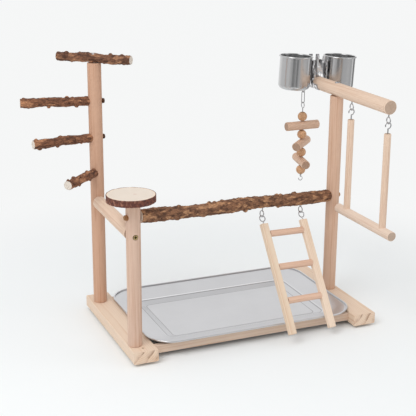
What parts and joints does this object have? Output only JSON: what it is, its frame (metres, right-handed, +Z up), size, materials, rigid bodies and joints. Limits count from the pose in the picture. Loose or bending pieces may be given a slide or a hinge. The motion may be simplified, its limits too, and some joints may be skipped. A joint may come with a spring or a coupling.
{
  "type": "parrot play stand",
  "caption": "Table-top bird play stand: pine feet and rails, steel tray, dowel posts, bark perches, swing, ladder, steel cups and a wooden stick toy.",
  "frame": {"origin": "middle of the overall box at table height", "axes": "+X to the cups, +Y to the rear, +Z up"},
  "size_m": [0.6546, 0.3928, 0.5019],
  "materials": {
    "pine": "bare sanded pine with grain",
    "dowel_wood": "bare sanded dowel, pinkish beige",
    "bark_wood": "brown bark with pale cut ends",
    "tray_steel": "satin",
    "cup_steel": "polished",
    "plated_steel": "zinc plated",
    "pad_rubber": "matt black"
  },
  "bodies": {
    "stand": {"left_foot": "pine", "right_foot": "pine", "front_rail": "pine", "rear_rail": "pine", "rail_pins": "pine", "rubber_pads": "pad_rubber", "tall_post": "dowel_wood", "front_post": "dowel_wood", "right_post": "dowel_wood", "post_screws": "plated_steel", "cross_dowel": "dowel_wood", "cross_dowel_screws": "plated_steel", "platform": "bark_wood", "platform_screw": "plated_steel", "top_perch": "bark_wood", "top_perch_screw": "plated_steel", "upper_side_perch": "bark_wood", "middle_side_perch": "bark_wood", "lower_side_perch": "bark_wood", "perch_bolts": "plated_steel", "perch_nuts": "plated_steel", "bridge_branch": "bark_wood", "branch_bolts": "plated_steel", "branch_nuts": "plated_steel", "top_bar": "dowel_wood", "top_bar_screw": "plated_steel", "cup_bracket": "cup_steel", "cup_bracket_screws": "plated_steel", "swing_eyes": "plated_steel", "branch_eyes": "plated_steel", "toy_eye": "plated_steel"},
    "tray_pan": {"tray": "tray_steel"},
    "left_cup_unit": {"left_cup": "cup_steel", "left_cup_hanger": "cup_steel"},
    "right_cup_unit": {"right_cup": "cup_steel", "right_cup_hanger": "cup_steel"},
    "swing": {"swing_hooks": "plated_steel", "swing_front_rod": "dowel_wood", "swing_rear_rod": "dowel_wood", "swing_perch": "dowel_wood"},
    "ladder": {"ladder_eyes": "plated_steel", "ladder_left_rail": "pine", "ladder_right_rail": "pine", "ladder_rungs": "dowel_wood"},
    "toy_upper": {"toy_link": "plated_steel"},
    "toy_string": {"toy_wire": "plated_steel", "toy_hook": "plated_steel"},
    "bead_1": {"toy_bead_1": "dowel_wood"},
    "bead_2": {"toy_bead_2": "dowel_wood"},
    "bead_3": {"toy_bead_3": "dowel_wood"},
    "bead_4": {"toy_bead_4": "dowel_wood"},
    "stick_1": {"toy_stick_1": "dowel_wood"},
    "stick_2": {"toy_stick_2": "dowel_wood"},
    "stick_3": {"toy_stick_3": "dowel_wood"}
  },
  "joints": [
    {"name": "tray_lift_out", "type": "slide", "parent": "stand", "child": "tray_pan", "axis": [0, 0.8387, 0.5446], "range_m": [0, 0.09]},
    {"name": "left_cup_lift", "type": "slide", "parent": "stand", "child": "left_cup_unit", "axis": [0.0523, 0, 0.9986], "range_m": [0, 0.06]},
    {"name": "right_cup_lift", "type": "slide", "parent": "stand", "child": "right_cup_unit", "axis": [0.0523, 0, 0.9986], "range_m": [0, 0.06]},
    {"name": "swing_sway", "type": "hinge", "parent": "stand", "child": "swing", "pos_m": [0.24418, 0.01375, 0.3948], "axis": [0, 1, 0], "range_deg": [-40, 12]},
    {"name": "ladder_lift", "type": "hinge", "parent": "stand", "child": "ladder", "pos_m": [0.07271, -0.02683, 0.20848], "axis": [-0.9868, -0.1475, 0.0663], "range_deg": [0, 60]},
    {"name": "toy_sway", "type": "hinge", "parent": "stand", "child": "toy_upper", "pos_m": [0.24418, 0.14625, 0.3948], "axis": [0, 1, 0], "range_deg": [-25, 25]},
    {"name": "toy_nod", "type": "hinge", "parent": "toy_upper", "child": "toy_string", "pos_m": [0.24418, 0.14625, 0.3729], "axis": [1, 0, 0], "range_deg": [-20, 20]},
    {"name": "bead_1_spin", "type": "hinge", "parent": "toy_string", "child": "bead_1", "pos_m": [0.24418, 0.14625, 0.34575], "axis": [0, 0, 1], "continuous": true},
    {"name": "stick_1_spin", "type": "hinge", "parent": "toy_string", "child": "stick_1", "pos_m": [0.24418, 0.14625, 0.32735], "axis": [0, 0, 1], "continuous": true},
    {"name": "bead_2_spin", "type": "hinge", "parent": "toy_string", "child": "bead_2", "pos_m": [0.24418, 0.14625, 0.30895], "axis": [0, 0, 1], "continuous": true},
    {"name": "stick_2_spin", "type": "hinge", "parent": "toy_string", "child": "stick_2", "pos_m": [0.24418, 0.14625, 0.29055], "axis": [0, 0, 1], "continuous": true},
    {"name": "bead_3_spin", "type": "hinge", "parent": "toy_string", "child": "bead_3", "pos_m": [0.24418, 0.14625, 0.27215], "axis": [0, 0, 1], "continuous": true},
    {"name": "stick_3_spin", "type": "hinge", "parent": "toy_string", "child": "stick_3", "pos_m": [0.24418, 0.14625, 0.25375], "axis": [0, 0, 1], "continuous": true},
    {"name": "bead_4_spin", "type": "hinge", "parent": "toy_string", "child": "bead_4", "pos_m": [0.24418, 0.14625, 0.23535], "axis": [0, 0, 1], "continuous": true}
  ]
}
